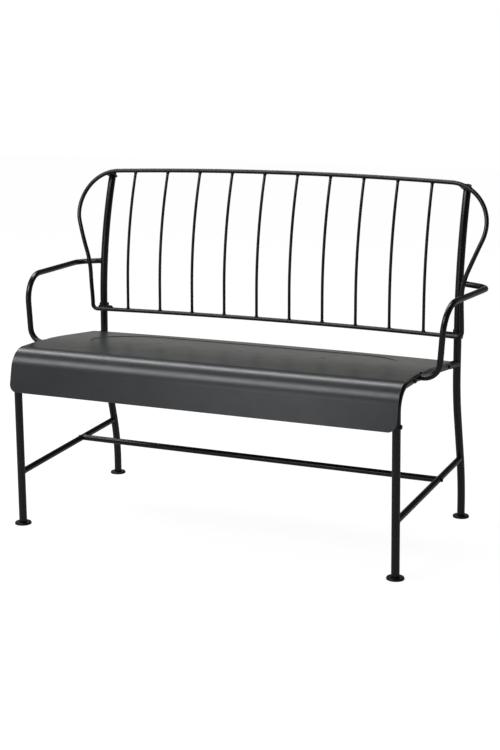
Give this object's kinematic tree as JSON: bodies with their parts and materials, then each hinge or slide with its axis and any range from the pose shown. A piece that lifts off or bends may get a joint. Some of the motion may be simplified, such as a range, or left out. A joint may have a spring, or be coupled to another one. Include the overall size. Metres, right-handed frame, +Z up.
{
  "type": "patio loveseat",
  "caption": "Two-seat patio bench with bent round-tube frame and arms, pressed sheet seat with a waterfall front, shallow dish and drain holes, and a curved back of thin upright rods.",
  "frame": {"origin": "floor level under the centre of the bounding box", "axes": "+X to the sitter's left along the length, -Y the way the sitter faces, +Z up"},
  "size_m": [1.1724, 0.5654, 0.8777],
  "materials": {
    "frame_coat": "satin black powder coat",
    "seat_coat": "satin charcoal powder coat",
    "foot_plastic": "matte black",
    "bolt_black": "black coated steel",
    "nut_zinc": "zinc plated"
  },
  "bodies": {
    "root": {"front_leg_rail_left": "frame_coat", "front_leg_rail_right": "frame_coat", "rear_post_left": "frame_coat", "rear_post_right": "frame_coat", "post_cap_left": "foot_plastic", "post_cap_right": "foot_plastic", "front_foot_left": "foot_plastic", "front_foot_right": "foot_plastic", "rear_foot_left": "foot_plastic", "rear_foot_right": "foot_plastic", "side_stretcher_left": "frame_coat", "side_stretcher_right": "frame_coat", "cross_stretcher": "frame_coat", "stretcher_plugs": "nut_zinc", "stretcher_bolts": "bolt_black", "arm_tube_left": "frame_coat", "arm_tube_right": "frame_coat", "back_loop_left": "frame_coat", "back_loop_right": "frame_coat", "back_slat_01": "frame_coat", "back_slat_02": "frame_coat", "back_slat_03": "frame_coat", "back_slat_04": "frame_coat", "back_slat_05": "frame_coat", "back_slat_06": "frame_coat", "back_slat_07": "frame_coat", "back_slat_08": "frame_coat", "back_slat_09": "frame_coat", "back_slat_10": "frame_coat", "upper_eye_left": "frame_coat", "upper_eye_right": "frame_coat", "lower_lug_left": "frame_coat", "lower_lug_right": "frame_coat", "lower_saddle_left": "foot_plastic", "lower_saddle_right": "foot_plastic", "lug_bolts": "bolt_black", "seat_pan": "seat_coat", "seat_brackets": "seat_coat", "seat_bolts": "bolt_black", "seat_nuts": "nut_zinc"}
  },
  "joints": []
}
